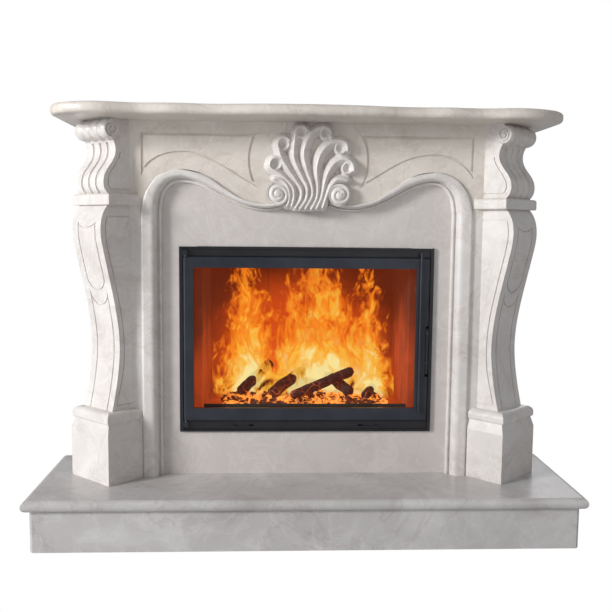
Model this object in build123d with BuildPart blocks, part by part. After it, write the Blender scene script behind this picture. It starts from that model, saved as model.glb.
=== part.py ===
"""Marble fireplace: a carved surround on a raised hearth, with a steel fire insert behind a glass door.

Millimetres. X runs to the right, Y runs back to the wall, Z runs up.
The origin is on the floor, on the centre line, at the front plane of the insert.
"""
import os
from math import cos, radians, sin

from build123d import *

os.makedirs("parts", exist_ok=True)

# Hearth
hearth_width = 1573
hearth_front = -239
wall_plane = 205
hearth_top = 150
slab_thickness = 33
slab_edge_radius = 16
riser_width = 1537
riser_front_plane = -222
riser_thickness = 30
riser_arris = 8
block_length = 430
block_depth = 340
block_pitch = 460
rear_block_length = 310
rear_block_pitch = 390
rear_block_depth = 240

# Leg stack, turned outwards from the front plane
leg_turn = 43
plinth_corner_x = 572
plinth_corner_y = -113
plinth_width = 183
plinth_shoulder = 30
plinth_set_in = 8
plinth_top = 327
moulding_top = 360
moulding_start = 2
moulding_width = 178
leg_start = 24
leg_width = 136
leg_top = 957
capital_top = 989
capital_start = 2
capital_width = 176
capital_depth = 16
corbel_top = 1202
scroll_start = 20
scroll_width = 145
scroll_depth = 42
scroll_height = 1171
scroll_radius = 29
groove_radius = 6
panel_margin = 16
panel_sink = 3
line_width = 4
leg_back_x = 562
leg_back_y = 55
stack_gap = 0.5
return_inner = 608
return_thickness = 24

# Front panels
frieze_front = -20
slip_front = 8
slip_thickness = 15
frieze_half = 560
panel_joint = 945
moulding_outer = 488
moulding_band = 46
moulding_bead = 12
band_height = 36
bead_height = 13
volute_x = 90
volute_z = 994
volute_radius = 33
volute_front = 46
groove_width = 7
groove_depth = 4
slip_half = 486
slip_joint = 254
slip_top_height = 1110

# Shelf
shelf_half = 728
shelf_thickness = 30
shelf_roll = 12

# Insert
frame_half = 380
frame_bottom = 282
frame_top = 840
rim_side = 10
rim_end = 6
strip_front = 6
strip_thickness = 4
strip_inner_bottom = 313
strip_inner_top = 813
rebate_front = 20.5
sheet = 4
fit_gap = 1
body_half = 346
body_front = 24.5
body_back = 420
body_bottom = 240
body_top = 836
body_wall = 5
shelf_plate_height = 300
collar_radius = 90.5
collar_wall = 3.5
collar_centre_y = 312
hood_top = 930
hood_length = 420
hood_depth = 212
collar_top = 992

# Door
door_half = 368.5
door_bottom = 314.5
door_top = 811.5
door_front = -4
door_back = 18
door_corner = 6
glass_left = -338
glass_right = 328
glass_low = 355
glass_high = 778
hinge_x = -362.5
hinge_y = 2
hinge_pin_radius = 3
hinge_clearance = 0.05
lug_width = 14
lug_height = 17
handle_x = 363.5
handle_pivot_y = 1
handle_pivot_z = 494
handle_width = 7
handle_low = 460
handle_high = 600
notch_inner = 358.5
notch_low = 452
notch_high = 606

# Firebox
side_lining = 25
back_lining = 30
floor_brick = 30
lining_face = body_half - body_wall - side_lining
lining_back_face = body_back - body_wall - back_lining
floor_height = shelf_plate_height + floor_brick
lining_top = body_top - 54
grate_half_x = 150
grate_front = 110
grate_rear = 290


def mantel_point(side, across, depth):
    """Plan point of the turned leg: across its face from the inner arris, and depth into it."""
    turn = radians(leg_turn)
    x = side * (plinth_corner_x + across * cos(turn) - depth * sin(turn))
    y = plinth_corner_y + across * sin(turn) + depth * cos(turn)
    return x, y


def flank_plane(side, across):
    """Plane along the leg's flank: its x runs into the depth, its y runs up."""
    turn = radians(leg_turn)
    return Plane(
        origin=mantel_point(side, across, 0),
        x_dir=(-side * sin(turn), cos(turn), 0),
        z_dir=(cos(turn), side * sin(turn), 0),
    )


def face_plane(side, depth):
    """Plane across the leg's face: its x runs from the inner arris outwards on the right leg."""
    turn = radians(leg_turn)
    return Plane(
        origin=mantel_point(side, 0, depth),
        x_dir=(cos(turn), side * sin(turn), 0),
        z_dir=(side * sin(turn), -cos(turn), 0),
    )


def stack_outline(side):
    """Plan of the space that the leg stack may fill, in front of the panel and the side return."""
    far_x = side * 900
    near_x = side * 300
    far_y = -400
    step_x = side * leg_back_x
    moulding_x = side * (moulding_outer + stack_gap)
    moulding_y = slip_front - band_height - stack_gap
    return [
        (near_x, far_y),
        (near_x, moulding_y),
        (moulding_x, moulding_y),
        (moulding_x, frieze_front),
        (step_x, frieze_front),
        (step_x, leg_back_y),
        (far_x, leg_back_y),
        (far_x, far_y),
    ]


def pin_places(side, height):
    """Places of the two dowels that tie the leg stack together."""
    spots = []
    for across, depth in ((110, 60), (60, 55)):
        x, y = mantel_point(side, across, depth)
        spots.append((x, y, height))
    return spots


def spiral(centre, radius, shrink, way):
    """Line that winds inwards by half turns."""
    x, z = centre
    point = (x, z - radius)
    climb = 1
    while radius > shrink + 3:
        smaller = radius - shrink
        end = (x, point[1] + climb * (radius + smaller))
        bulge = way * climb * (radius + smaller) / 2
        ThreePointArc(point, (x + bulge, (point[1] + end[1]) / 2), end)
        point = end
        radius = smaller
        climb = -climb


dowel_radius = 5
dowel_bore = 5.2
lower_dowel_middle = 345
lower_dowel_length = 80
upper_dowel_middle = 972
upper_dowel_length = 84


def bore_for_dowels(side, middle, length):
    """Bore the dowel holes through whatever piece is being built."""
    with Locations(*pin_places(side, middle)):
        Cylinder(dowel_bore, length + 1, mode=Mode.SUBTRACT)


# Hearth slab with a rounded edge on the front and both ends
with BuildPart() as hearth_slab:
    with BuildSketch(Plane.XY.offset(hearth_top - slab_thickness)):
        with Locations((0, hearth_front)):
            Rectangle(hearth_width, wall_plane - hearth_front, align=(Align.CENTER, Align.MIN))
    extrude(amount=slab_thickness)
    front_edges = hearth_slab.edges().filter_by(Axis.X).group_by(Axis.Y)[0]
    end_edges = hearth_slab.edges().filter_by(Axis.Y)
    fillet(front_edges + end_edges, radius=slab_edge_radius)
hearth_slab.part.label = "hearth_slab"
export_step(hearth_slab.part, "parts/hearth_slab.step")

# Riser below the slab, mitred at the front corners with a narrow bevel
riser_height = hearth_top - slab_thickness
riser_half = riser_width / 2
bevel_mid = riser_arris / 2

with BuildPart() as riser_front:
    with BuildSketch(Plane.XY):
        with BuildLine():
            Polyline(
                (-riser_half + bevel_mid, riser_front_plane + bevel_mid),
                (-riser_half + riser_arris, riser_front_plane),
                (riser_half - riser_arris, riser_front_plane),
                (riser_half - bevel_mid, riser_front_plane + bevel_mid),
                (riser_half - riser_thickness, riser_front_plane + riser_thickness),
                (-riser_half + riser_thickness, riser_front_plane + riser_thickness),
                close=True,
            )
        make_face()
    extrude(amount=riser_height)
riser_front.part.label = "riser_front"
export_step(riser_front.part, "parts/riser_front.step")

for side, hand in ((-1, "left"), (1, "right")):
    with BuildPart() as riser_end:
        with BuildSketch(Plane.XY):
            with BuildLine():
                Polyline(
                    (side * riser_half, wall_plane),
                    (side * riser_half, riser_front_plane + riser_arris),
                    (side * (riser_half - bevel_mid), riser_front_plane + bevel_mid),
                    (side * (riser_half - riser_thickness), riser_front_plane + riser_thickness),
                    (side * (riser_half - riser_thickness), wall_plane),
                    close=True,
                )
            make_face()
        extrude(amount=riser_height)
    riser_end.part.label = "riser_" + hand
    export_step(riser_end.part, "parts/riser_" + hand + ".step")

# Masonry blocks that carry the slab, and two taller ones behind it for the insert's rear feet
with BuildPart() as core_blocks:
    with BuildSketch(Plane.XY):
        with GridLocations(block_pitch, 1, 3, 1):
            Rectangle(block_length, block_depth)
    extrude(amount=riser_height)
    with BuildSketch(Plane.XY):
        with Locations((0, wall_plane + fit_gap)):
            with GridLocations(rear_block_pitch, 1, 2, 1):
                Rectangle(rear_block_length, rear_block_depth, align=(Align.CENTER, Align.MIN))
    extrude(amount=hearth_top)
core_blocks.part.label = "core_blocks"
export_step(core_blocks.part, "parts/core_blocks.step")

# Curves of the leg and the corbel, as depth into the face and height
leg_curve = [
    (33, moulding_top),
    (54, 459),
    (62, 545),
    (51, 652),
    (31, 743),
    (12, 822),
    (2, 886),
    (8, 925),
    (28, leg_top),
]
corbel_curve = [
    (30, capital_top),
    (15, 1014),
    (20, 1045),
    (42, 1076),
    (57, 1108),
    (52, 1136),
    (scroll_depth, 1150),
]
stack_depth = 260

for side, hand in ((-1, "left"), (1, "right")):
    # Space that the leg stack may fill, used below to trim each of its pieces
    with BuildPart() as stack_space:
        with BuildSketch(Plane.XY):
            with BuildLine():
                Polyline(*stack_outline(side), close=True)
            make_face()
        extrude(amount=corbel_top + 50)

    # Plinth block, drawn in by a sloped shoulder at the top
    with BuildPart() as plinth:
        with BuildSketch(face_plane(side, 0).offset(-stack_depth / 2)):
            with BuildLine():
                Polyline(
                    (0, hearth_top),
                    (0, plinth_top - plinth_shoulder),
                    (side * plinth_set_in, plinth_top),
                    (side * (plinth_width - plinth_set_in), plinth_top),
                    (side * plinth_width, plinth_top - plinth_shoulder),
                    (side * plinth_width, hearth_top),
                    close=True,
                )
            make_face()
        extrude(amount=stack_depth / 2)
        shoulder = plinth.edges().filter_by(Axis.Z, reverse=True).sort_by_distance(
            (*mantel_point(side, plinth_width / 2, 0), plinth_top)
        )[0]
        slope_face = plinth.faces().sort_by(Axis.Z)[-1]
        chamfer(shoulder, length=plinth_set_in, length2=plinth_shoulder, reference=slope_face)
        add(stack_space.part, mode=Mode.INTERSECT)
        bore_for_dowels(side, lower_dowel_middle, lower_dowel_length)
    plinth.part.label = "plinth_" + hand
    export_step(plinth.part, "parts/plinth_" + hand + ".step")

    # Rounded moulding between the plinth and the foot of the leg
    with BuildPart() as base_moulding:
        with BuildSketch(flank_plane(side, moulding_start)):
            with BuildLine():
                Polyline(
                    (1, plinth_top),
                    (1, moulding_top),
                    (stack_depth, moulding_top),
                    (stack_depth, plinth_top),
                    close=True,
                )
            make_face()
        extrude(amount=side * moulding_width)
        top_edges = base_moulding.faces().sort_by(Axis.Z)[-1].edges()
        fillet(top_edges, radius=18)
        bottom_edges = base_moulding.faces().sort_by(Axis.Z)[0].edges()
        fillet(bottom_edges, radius=6)
        add(stack_space.part, mode=Mode.INTERSECT)
        bore_for_dowels(side, lower_dowel_middle, lower_dowel_length)
    base_moulding.part.label = "base_moulding_" + hand
    export_step(base_moulding.part, "parts/base_moulding_" + hand + ".step")

    # Carved lines on the curved face: an upper shield and a long panel below it
    line_in = leg_start + 27
    line_out = leg_start + leg_width - 27
    line_middle = (line_in + line_out) / 2
    with BuildPart() as carving:
        with BuildSketch(face_plane(side, -40)):
            with BuildLine():
                Line((side * line_in, 905), (side * line_in, 745))
                ThreePointArc(
                    (side * line_in, 745),
                    (side * line_middle, 712),
                    (side * line_out, 745),
                )
                Line((side * line_out, 745), (side * line_out, 905))
                ThreePointArc(
                    (side * line_out, 905),
                    (side * line_middle, 893),
                    (side * line_in, 905),
                )
            trace(line_width=line_width)
            with BuildLine():
                Line((side * line_in, moulding_top - 5), (side * line_in, 700))
                ThreePointArc(
                    (side * line_in, 700),
                    (side * line_middle, 668),
                    (side * line_out, 700),
                )
                Line((side * line_out, 700), (side * line_out, moulding_top - 5))
            trace(line_width=line_width)
        extrude(amount=-180)
        with BuildSketch(flank_plane(side, leg_start)):
            with BuildLine():
                skin = Spline(*leg_curve)
                inner_skin = Spline(*[(depth + panel_sink, height) for depth, height in leg_curve])
                Line(skin @ 0, inner_skin @ 0)
                Line(skin @ 1, inner_skin @ 1)
            make_face()
        extrude(amount=side * leg_width, mode=Mode.INTERSECT)

    # Leg with a double curve, its flank lined along the front edge
    with BuildPart() as leg:
        with BuildSketch(flank_plane(side, leg_start)):
            with BuildLine():
                front = Spline(*leg_curve)
                Polyline(front @ 1, (stack_depth, leg_top), (stack_depth, moulding_top), front @ 0)
            make_face()
        extrude(amount=side * leg_width)
        with BuildSketch(flank_plane(side, leg_start)):
            with BuildLine():
                margin = Spline(*[(depth + panel_margin, height) for depth, height in leg_curve[1:-1]])
                Line(margin @ 1, (stack_depth, (margin @ 1).Y))
                Polyline(
                    margin @ 0,
                    (leg_curve[0][0] + panel_margin, moulding_top + panel_margin),
                    (stack_depth, moulding_top + panel_margin),
                )
            trace(line_width=line_width)
        extrude(amount=side * panel_sink, mode=Mode.SUBTRACT)
        add(carving.part, mode=Mode.SUBTRACT)
        add(stack_space.part, mode=Mode.INTERSECT)
        bore_for_dowels(side, lower_dowel_middle, lower_dowel_length)
        bore_for_dowels(side, upper_dowel_middle, upper_dowel_length)
    leg.part.label = "leg_" + hand
    export_step(leg.part, "parts/leg_" + hand + ".step")

    # Flat band between the leg and the corbel
    with BuildPart() as capital:
        with BuildSketch(flank_plane(side, capital_start)):
            with BuildLine():
                Polyline(
                    (capital_depth, leg_top),
                    (capital_depth, capital_top),
                    (stack_depth, capital_top),
                    (stack_depth, leg_top),
                    close=True,
                )
            make_face()
        extrude(amount=side * capital_width)
        fillet(capital.faces().sort_by(Axis.Z)[-1].edges(), radius=9)
        fillet(capital.faces().sort_by(Axis.Z)[0].edges(), radius=4)
        add(stack_space.part, mode=Mode.INTERSECT)
        bore_for_dowels(side, upper_dowel_middle, upper_dowel_length)
    capital.part.label = "capital_" + hand
    export_step(capital.part, "parts/capital_" + hand + ".step")

    # Scroll that rolls over at the top of the corbel, in four lobes
    lobe = scroll_width / 4
    with BuildPart() as scroll:
        with BuildSketch(face_plane(side, scroll_depth)):
            with BuildLine():
                Line((side * scroll_start, scroll_height), (side * scroll_start, scroll_height + 24))
                for number in range(4):
                    lobe_start = scroll_start + number * lobe
                    ThreePointArc(
                        (side * lobe_start, scroll_height + 24),
                        (side * (lobe_start + lobe / 2), scroll_height + scroll_radius),
                        (side * (lobe_start + lobe), scroll_height + 24),
                    )
                scroll_end = scroll_start + scroll_width
                Line((side * scroll_end, scroll_height + 24), (side * scroll_end, scroll_height))
                Line((side * scroll_end, scroll_height), (side * scroll_start, scroll_height))
            make_face()
        axis_x, axis_y = mantel_point(side, 0, scroll_depth)
        turn = radians(leg_turn)
        revolve(axis=Axis((axis_x, axis_y, scroll_height), (side * cos(turn), sin(turn), 0)))

    # Corbel with four upright ribs under the scroll
    with BuildPart() as corbel:
        with BuildSketch(flank_plane(side, leg_start)):
            with BuildLine():
                belly = Spline(*corbel_curve)
                Polyline(
                    belly @ 1,
                    (scroll_depth, corbel_top),
                    (stack_depth, corbel_top),
                    (stack_depth, capital_top),
                    belly @ 0,
                )
            make_face()
        extrude(amount=side * leg_width)
        for number in range(1, 4):
            across = leg_start + number * leg_width / 4
            with BuildLine(flank_plane(side, across)) as groove_path:
                Spline(*corbel_curve[:-1])
            with BuildSketch(Plane(groove_path.line @ 0, z_dir=groove_path.line % 0)):
                Circle(groove_radius)
            sweep(path=groove_path.line, mode=Mode.SUBTRACT)
        add(scroll.part)
        with BuildSketch(flank_plane(side, leg_start)):
            with BuildLine():
                corbel_margin = Spline(
                    *[(depth + panel_margin, height) for depth, height in corbel_curve[1:5]]
                )
                Polyline(
                    corbel_margin @ 0,
                    (corbel_curve[1][0] + panel_margin + 8, capital_top + panel_margin - 3),
                    (stack_depth, capital_top + panel_margin - 3),
                )
            trace(line_width=line_width)
        extrude(amount=side * panel_sink, mode=Mode.SUBTRACT)
        with BuildSketch(flank_plane(side, scroll_start)):
            with BuildLine():
                spiral((scroll_depth, scroll_height), 19, 4.5, -1)
            trace(line_width=line_width)
        extrude(amount=side * panel_sink, mode=Mode.SUBTRACT)
        add(stack_space.part, mode=Mode.INTERSECT)
        bore_for_dowels(side, upper_dowel_middle, upper_dowel_length)
    corbel.part.label = "corbel_" + hand
    export_step(corbel.part, "parts/corbel_" + hand + ".step")

    # Side panel from the leg back to the wall
    with BuildPart() as side_return:
        with BuildSketch(Plane.XY.offset(hearth_top)):
            with Locations((side * (return_inner + return_thickness / 2), leg_back_y)):
                Rectangle(
                    return_thickness,
                    wall_plane - leg_back_y,
                    align=(Align.CENTER, Align.MIN),
                )
        extrude(amount=corbel_top - hearth_top)
    side_return.part.label = "return_" + hand
    export_step(side_return.part, "parts/return_" + hand + ".step")

# Dowels between the plinth, moulding, leg, capital and corbel
with BuildPart() as dowel_pins:
    for side in (-1, 1):
        with Locations(*pin_places(side, lower_dowel_middle)):
            Cylinder(dowel_radius, lower_dowel_length)
        with Locations(*pin_places(side, upper_dowel_middle)):
            Cylinder(dowel_radius, upper_dowel_length)
dowel_pins.part.label = "dowel_pins"
export_step(dowel_pins.part, "parts/dowel_pins.step")

# Front plane of the slips seen from the front: its x runs right and its y runs up
slip_plane = Plane(origin=(0, slip_front, 0), x_dir=(1, 0, 0), z_dir=(0, -1, 0))
outer_edge = [
    (488, 945),
    (476, 995),
    (445, 1039),
    (405, 1060),
    (372, 1064),
    (301, 1048),
    (251, 1016),
    (200, 984),
    (150, 970),
    (100, 967),
    (61, 974),
]
band_edge = [
    (442, 945),
    (434, 990),
    (412, 1024),
    (383, 1037),
    (346, 1036),
    (300, 1020),
    (250, 992),
    (199, 968),
    (150, 956),
    (110, 955),
    (61, 968),
]
bead_edge = [
    (430, 945),
    (422, 990),
    (403, 1016),
    (380, 1026),
    (346, 1025),
    (303, 1011),
    (252, 984),
    (201, 961),
    (160, 950),
    (122, 947),
    (85, 952),
    (61, 962),
]


def arch_edge(side, edge):
    """One long edge of the arch: up from the joint, over the crown and down to the middle."""
    return Spline(*[(side * x, z) for x, z in edge])


jamb_relief = slip_front - frieze_front

for side, hand in ((-1, "left"), (1, "right")):
    # Jamb slab with the moulding carved along its inner edge
    with BuildPart() as jamb:
        with BuildSketch(slip_plane):
            with Locations((side * (moulding_outer + frieze_half) / 2, hearth_top)):
                Rectangle(
                    frieze_half - moulding_outer,
                    panel_joint - hearth_top,
                    align=(Align.CENTER, Align.MIN),
                )
        extrude(amount=jamb_relief)
        with BuildSketch(Plane.XY.offset(hearth_top)):
            with BuildLine():
                outer = side * moulding_outer
                band = side * (moulding_outer - moulding_band)
                bead = side * (moulding_outer - moulding_band - moulding_bead)
                quirk = side * (moulding_outer - moulding_band - 3)
                crest_y = slip_front - band_height
                Line((outer, slip_front), (outer, frieze_front))
                ThreePointArc(
                    (outer, frieze_front),
                    (outer - side * 2.3, crest_y + 2.3),
                    (outer - side * 8, crest_y),
                )
                Line((outer - side * 8, crest_y), (outer - side * 26, crest_y))
                ThreePointArc(
                    (outer - side * 26, crest_y),
                    (outer - side * 40.1, crest_y + 5.9),
                    (band, crest_y + 20),
                )
                Line((band, crest_y + 20), (band, slip_front - 9))
                Line((band, slip_front - 9), (quirk, slip_front - 9))
                ThreePointArc(
                    (quirk, slip_front - 9),
                    (quirk - side * 4.5, slip_front - bead_height),
                    (bead, slip_front - 9),
                )
                Line((bead, slip_front - 9), (bead, slip_front))
                Line((bead, slip_front), (outer, slip_front))
            make_face()
        extrude(amount=panel_joint - hearth_top)
    jamb.part.label = "jamb_" + hand
    export_step(jamb.part, "parts/jamb_" + hand + ".step")

    # Arch moulding from the jamb over to the middle, ending in a volute
    with BuildPart() as arch:
        with BuildSketch(slip_plane):
            with BuildLine():
                top = arch_edge(side, outer_edge)
                low = arch_edge(side, band_edge)
                Line(top @ 0, low @ 0)
                Line(top @ 1, low @ 1)
            make_face()
        extrude(amount=band_height)
        with BuildSketch(slip_plane):
            with BuildLine():
                top = arch_edge(side, band_edge)
                low = arch_edge(side, bead_edge)
                Line(top @ 0, low @ 0)
                Line(top @ 1, low @ 1)
            make_face()
        extrude(amount=bead_height)
        with Locations(
            Plane(
                origin=(side * volute_x, frieze_front, volute_z),
                x_dir=(1, 0, 0),
                z_dir=(0, -1, 0),
            )
        ):
            Cylinder(
                volute_radius,
                volute_front - jamb_relief,
                align=(Align.CENTER, Align.CENTER, Align.MIN),
            )
        with BuildSketch(slip_plane.offset(volute_front)):
            with BuildLine():
                spiral((side * volute_x, volute_z), 26, 5.5, -side)
            trace(line_width=5)
        extrude(amount=-7, mode=Mode.SUBTRACT)
    arch.part.label = "arch_moulding_" + hand
    export_step(arch.part, "parts/arch_moulding_" + hand + ".step")

# Frieze slab over the arch, with the outlines of two spandrel panels cut in
with BuildPart() as frieze:
    with BuildSketch(slip_plane):
        with BuildLine():
            left_edge = arch_edge(-1, outer_edge)
            right_edge = arch_edge(1, outer_edge)
            Line(left_edge @ 1, right_edge @ 1)
            Polyline(
                right_edge @ 0,
                (frieze_half, panel_joint),
                (frieze_half, corbel_top),
                (-frieze_half, corbel_top),
                (-frieze_half, panel_joint),
                left_edge @ 0,
            )
        make_face()
    extrude(amount=jamb_relief)
    for side in (-1, 1):
        with BuildSketch(slip_plane.offset(jamb_relief)):
            with BuildLine():
                Spline(
                    (side * 482, 1057),
                    (side * 430, 1101),
                    (side * 368, 1112),
                    (side * 285, 1095),
                    (side * 199, 1047),
                    (side * 157, 1023),
                )
                ThreePointArc((side * 157, 1023), (side * 174, 1096), (side * 158, 1163))
                Line((side * 158, 1163), (side * 482, 1163))
                Line((side * 482, 1163), (side * 482, 1057))
            trace(line_width=groove_width)
        extrude(amount=-groove_depth, mode=Mode.SUBTRACT)
frieze.part.label = "frieze"
export_step(frieze.part, "parts/frieze.step")

# Shell ornament: a fan of curled ribs on a shaped ground, each rib ending round an eye
rib_curves = [
    [(-112, 1093), (-118, 1074), (-98, 1052), (-62, 1034), (-45, 1002), (-52, 966)],
    [(-99, 1142), (-92, 1112), (-62, 1063), (-30, 1020), (-22, 985), (-37, 960)],
    [(-51, 1176), (-53, 1130), (-38, 1078), (-10, 1025), (-5, 985), (-22, 956)],
    [(60, 1163), (38, 1187), (4, 1165), (-15, 1107), (4, 1035), (11, 990), (-3, 955)],
    [(110, 1124), (82, 1148), (45, 1126), (23, 1070), (25, 1010), (14, 955)],
    [(129, 1066), (103, 1095), (68, 1076), (46, 1030), (28, 956)],
    [(108, 1036), (78, 1034), (55, 1002), (42, 960)],
]
shell_eyes = [(-96, 1080), (-76, 1136), (-24, 1168), (44, 1163), (88, 1127), (108, 1072)]
rib_radius = 6
eye_radius = 15
ground_outline = [
    (-50, 957),
    (-57, 1024),
    (-126, 1062),
    (-118, 1105),
    (-98, 1150),
    (-60, 1184),
    (30, 1192),
    (72, 1176),
    (112, 1146),
    (135, 1085),
    (118, 1030),
    (57, 1018),
    (44, 957),
]
ground_thickness = 12
ornament_plane = slip_plane.offset(jamb_relief)
with BuildPart() as shell:
    with BuildSketch(ornament_plane):
        with BuildLine():
            Spline(*ground_outline[1:-1])
            Line(ground_outline[-2], ground_outline[-1])
            Line(ground_outline[-1], ground_outline[0])
            Line(ground_outline[0], ground_outline[1])
        make_face()
    extrude(amount=ground_thickness)
    for curve in rib_curves:
        with BuildLine(ornament_plane.offset(ground_thickness)) as rib_path:
            Spline(*curve)
        with BuildSketch(Plane(rib_path.line @ 0, z_dir=rib_path.line % 0)):
            Circle(rib_radius)
        sweep(path=rib_path.line)
    for x, z in shell_eyes:
        with Locations(
            Plane(
                origin=(x, frieze_front - ground_thickness, z),
                x_dir=(1, 0, 0),
                z_dir=(0, -1, 0),
            )
        ):
            Cylinder(eye_radius, 6, align=(Align.CENTER, Align.CENTER, Align.MIN))
            with Locations((0, 0, 14)):
                Sphere(13, mode=Mode.SUBTRACT)
    for side in (-1, 1):
        with Locations((side * volute_x, frieze_front, volute_z)):
            Cylinder(volute_radius + stack_gap, 100, rotation=(90, 0, 0), mode=Mode.SUBTRACT)
    with BuildSketch(ornament_plane):
        with Locations((0, volute_z)):
            Rectangle(600, 600)
    extrude(amount=60, mode=Mode.INTERSECT)
shell.part.label = "shell_carving"
export_step(shell.part, "parts/shell_carving.step")

# Slips around the insert: one above, one below and one at each side
opening_half = frame_half + fit_gap
opening_bottom = frame_bottom - fit_gap
opening_top = frame_top + fit_gap


slip_outlines = {
    "slip_top": [
        (-slip_half, opening_top),
        (slip_half, opening_top),
        (slip_half, slip_top_height),
        (-slip_half, slip_top_height),
    ],
    "slip_bottom": [
        (-slip_half, hearth_top),
        (slip_half, hearth_top),
        (slip_half, slip_joint),
        (opening_half, slip_joint),
        (opening_half, opening_bottom),
        (-opening_half, opening_bottom),
        (-opening_half, slip_joint),
        (-slip_half, slip_joint),
    ],
    "slip_left": [
        (-slip_half, slip_joint),
        (-opening_half, slip_joint),
        (-opening_half, opening_top),
        (-slip_half, opening_top),
    ],
    "slip_right": [
        (opening_half, slip_joint),
        (slip_half, slip_joint),
        (slip_half, opening_top),
        (opening_half, opening_top),
    ],
}
for name, outline in slip_outlines.items():
    with BuildPart() as slip:
        with BuildSketch(slip_plane):
            with BuildLine():
                Polyline(*outline, close=True)
            make_face()
        extrude(amount=-slip_thickness)
    slip.part.label = name
    export_step(slip.part, "parts/" + name + ".step")

# Shelf with a wavy front edge and rounded ends
shelf_curve = [
    (-shelf_half, -50),
    (-704, -120),
    (-650, -158),
    (-565, -172),
    (-475, -155),
    (-385, -163),
    (-295, -156),
    (-150, -171),
    (0, -178),
    (150, -171),
    (295, -156),
    (385, -163),
    (475, -155),
    (565, -172),
    (650, -158),
    (704, -120),
    (shelf_half, -50),
]
bracket_x = (-450, -150, 150, 450)
bracket_width = 50
bracket_leaf = 40
bracket_thickness = 4
bracket_screw_radius = 2.5
bracket_screw_length = 22
bracket_screw_y = wall_plane - 24
bracket_screw_z = corbel_top - 24
with BuildPart() as shelf:
    with BuildSketch(Plane.XY.offset(corbel_top)):
        with BuildLine():
            front = Spline(*shelf_curve)
            Polyline(front @ 1, (shelf_half, wall_plane), (-shelf_half, wall_plane), front @ 0)
        make_face()
    extrude(amount=shelf_thickness)
    level_edges = shelf.edges().filter_by(Axis.Z, reverse=True)
    rolled = [edge for edge in level_edges if (edge @ 0.5).Y < wall_plane - 1]
    fillet(rolled, radius=shelf_roll)
    with Locations(*[(x, bracket_screw_y, corbel_top) for x in bracket_x]):
        Cylinder(bracket_screw_radius, 40, mode=Mode.SUBTRACT)
shelf.part.label = "shelf"
export_step(shelf.part, "parts/shelf.step")

# Angle brackets that tie the shelf to the wall, with open holes for the wall screws
wall_hole_radius = 3.2
with BuildPart() as wall_brackets:
    for x in bracket_x:
        with Locations((x, wall_plane, corbel_top)):
            Box(
                bracket_width,
                bracket_leaf,
                bracket_thickness,
                align=(Align.CENTER, Align.MAX, Align.MAX),
            )
            Box(
                bracket_width,
                bracket_thickness,
                bracket_leaf,
                align=(Align.CENTER, Align.MAX, Align.MAX),
            )
        with Locations((x, bracket_screw_y, corbel_top)):
            Cylinder(bracket_screw_radius, 20, mode=Mode.SUBTRACT)
        with Locations((x, wall_plane, bracket_screw_z)):
            Cylinder(wall_hole_radius, 20, rotation=(90, 0, 0), mode=Mode.SUBTRACT)
wall_brackets.part.label = "wall_brackets"
export_step(wall_brackets.part, "parts/wall_brackets.step")

with BuildPart() as bracket_screws:
    for x in bracket_x:
        with Locations((x, bracket_screw_y, corbel_top - bracket_thickness)):
            Cylinder(
                bracket_screw_radius,
                bracket_screw_length,
                align=(Align.CENTER, Align.CENTER, Align.MIN),
            )
            Cylinder(5, 3, align=(Align.CENTER, Align.CENTER, Align.MAX))
bracket_screws.part.label = "bracket_screws"
export_step(bracket_screws.part, "parts/bracket_screws.step")

# Front frame of the insert: dark rim, two strips and the flange that the door seals against
insert_plane = Plane(origin=(0, 0, 0), x_dir=(1, 0, 0), z_dir=(0, -1, 0))


def band_between(low, high, half):
    """Rectangle seen from the front, between two heights and two sides."""
    with Locations((0, (low + high) / 2)):
        Rectangle(2 * half, high - low)


rim_inner_half = frame_half - rim_side
rim_inner_bottom = frame_bottom + rim_end
rim_inner_top = frame_top - rim_end
slide_x = 217
slide_slot = 60
slide_height = 300
slide_tab = 3
with BuildPart() as insert_frame:
    with BuildSketch(insert_plane.offset(-body_front)):
        band_between(frame_bottom, frame_top, frame_half)
        with Locations((0, (rim_inner_bottom + rim_inner_top) / 2)):
            Rectangle(2 * rim_inner_half, rim_inner_top - rim_inner_bottom, mode=Mode.SUBTRACT)
    extrude(amount=body_front)
    with BuildSketch(insert_plane.offset(-strip_front - strip_thickness)):
        band_between(strip_inner_top, rim_inner_top, rim_inner_half)
        band_between(rim_inner_bottom, strip_inner_bottom, rim_inner_half)
    extrude(amount=strip_thickness)
    with BuildSketch(insert_plane.offset(-body_front)):
        band_between(rim_inner_bottom, rim_inner_top, rim_inner_half)
        with Locations((0, (glass_low + glass_high) / 2)):
            Rectangle(2 * body_half - 10, glass_high - glass_low + 36, mode=Mode.SUBTRACT)
    extrude(amount=body_front - rebate_front)
    with BuildSketch(insert_plane):
        for side in (-1, 1):
            with Locations((side * (slide_x - slide_slot / 2 + slide_tab), slide_height)):
                Rectangle(slide_slot, 6)
    extrude(amount=-14, mode=Mode.SUBTRACT)
insert_frame.part.label = "insert_frame"
export_step(insert_frame.part, "parts/insert_frame.step")

# Hinge lugs on the strips, and the pins pressed into them
lug_back = strip_front
lug_front = hinge_y - 6
lug_levels = ((door_top + fit_gap, 1), (door_bottom - fit_gap, -1))
pin_reach = 15
with BuildPart() as hinge_lugs:
    for level, way in lug_levels:
        with Locations((hinge_x, (lug_back + lug_front) / 2, level + way * lug_height / 2)):
            Box(lug_width, lug_back - lug_front, lug_height)
        with Locations((hinge_x, hinge_y, level)):
            Cylinder(hinge_pin_radius, 3 * lug_height, mode=Mode.SUBTRACT)
hinge_lugs.part.label = "hinge_lugs"
export_step(hinge_lugs.part, "parts/hinge_lugs.step")

with BuildPart() as hinge_pins:
    for level, way in lug_levels:
        with Locations((hinge_x, hinge_y, level + way * (lug_height - pin_reach) / 2)):
            Cylinder(hinge_pin_radius, lug_height + pin_reach)
hinge_pins.part.label = "hinge_pins"
export_step(hinge_pins.part, "parts/hinge_pins.step")

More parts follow.
